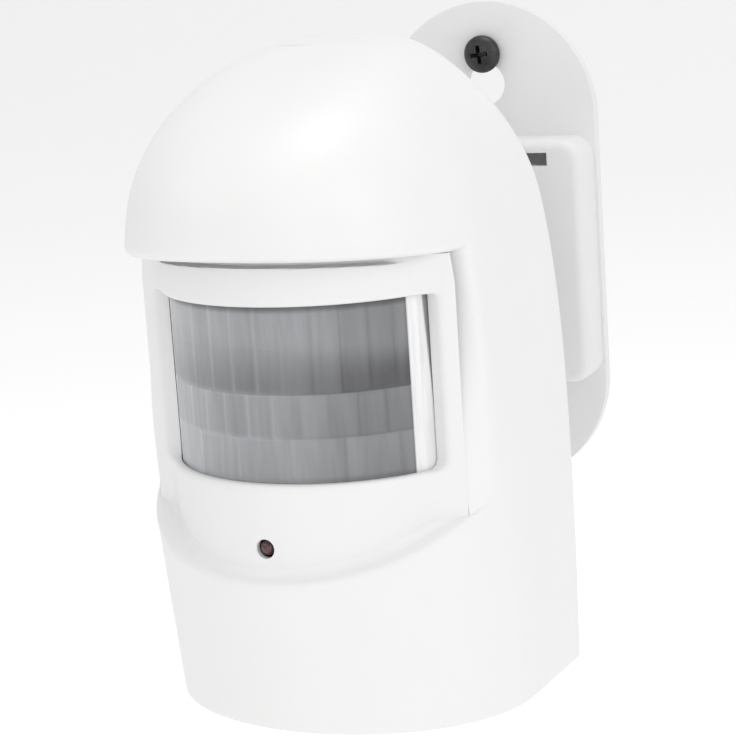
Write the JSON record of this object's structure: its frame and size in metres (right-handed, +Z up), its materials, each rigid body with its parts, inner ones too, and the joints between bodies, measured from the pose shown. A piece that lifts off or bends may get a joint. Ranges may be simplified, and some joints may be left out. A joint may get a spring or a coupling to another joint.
{
  "type": "motion sensor",
  "caption": "Arched white passive infrared motion sensor with a hooded curved lens window and indicator light, on a wall bracket that lets it pan and tilt.",
  "frame": {"origin": "on the flat back of the wall bracket, level with the middle of its block, in the wall plane", "axes": "+Z up, +Y into the wall, the sensor looks along -Y, +X to the right as seen from in front"},
  "size_m": [0.0654, 0.1278, 0.113],
  "materials": {
    "casing": "fine matt texture",
    "panel": "fine matt texture",
    "bracket": "fine matt texture",
    "lens": "satin, ribbed inside",
    "inner_white": "matt",
    "dark_screw": "satin black",
    "steel": "zinc plated",
    "tin": "satin",
    "filter": "polished",
    "board": "solder mask",
    "black_plastic": "matt",
    "sleeve": "shrink sleeve",
    "copper": "enamelled wire",
    "led_red": "tinted clear",
    "wire_red": "satin",
    "wire_black": "satin",
    "battery_wrap": "printed wrap left plain"
  },
  "bodies": {
    "wall_side": {"wall_bracket": "bracket", "wall_screw_upper": "dark_screw", "wall_screw_lower": "dark_screw", "pan_pin": "steel", "pan_pin_clip": "steel"},
    "yoke": {"swivel_yoke": "bracket"},
    "sensor": {"back_housing": "casing", "front_housing": "casing", "front_panel": "panel", "fresnel_lens": "lens", "lens_retainer": "inner_white", "tilt_screw": "steel", "tilt_nut": "steel", "case_screw_1": "steel", "case_screw_2": "steel", "case_screw_3": "steel", "case_screw_4": "steel", "circuit_board": "board", "board_screw_1": "steel", "board_screw_2": "steel", "board_screw_3": "steel", "board_screw_4": "steel", "pir_can": "tin", "pir_filter": "filter", "control_ic": "black_plastic", "capacitor_1": "sleeve", "capacitor_2": "sleeve", "resonator_can": "tin", "antenna_coil": "copper", "indicator_led": "led_red", "led_lead_1": "tin", "led_lead_2": "tin", "slide_switch_body": "tin", "battery": "battery_wrap", "battery_connector": "black_plastic", "battery_lead_red": "wire_red", "battery_lead_black": "wire_black"},
    "battery_door": {"battery_door": "casing"},
    "switch_slider": {"switch_slider": "black_plastic"}
  },
  "joints": [
    {"name": "pan", "type": "hinge", "parent": "wall_side", "child": "yoke", "pos_m": [0, -0.0046, 0], "axis": [0, 0, 1], "range_deg": [-45, 45]},
    {"name": "tilt", "type": "hinge", "parent": "yoke", "child": "sensor", "pos_m": [0, -0.0336, -0.002], "axis": [1, 0, 0], "range_deg": [-30, 30]},
    {"name": "battery_door_hinge", "type": "hinge", "parent": "sensor", "child": "battery_door", "pos_m": [0, -0.0496, -0.0585], "axis": [-1, 0, 0], "range_deg": [0, 90]},
    {"name": "switch_slide", "type": "slide", "parent": "sensor", "child": "switch_slider", "axis": [0, 0, 1], "range_m": [0, 0.003]}
  ]
}
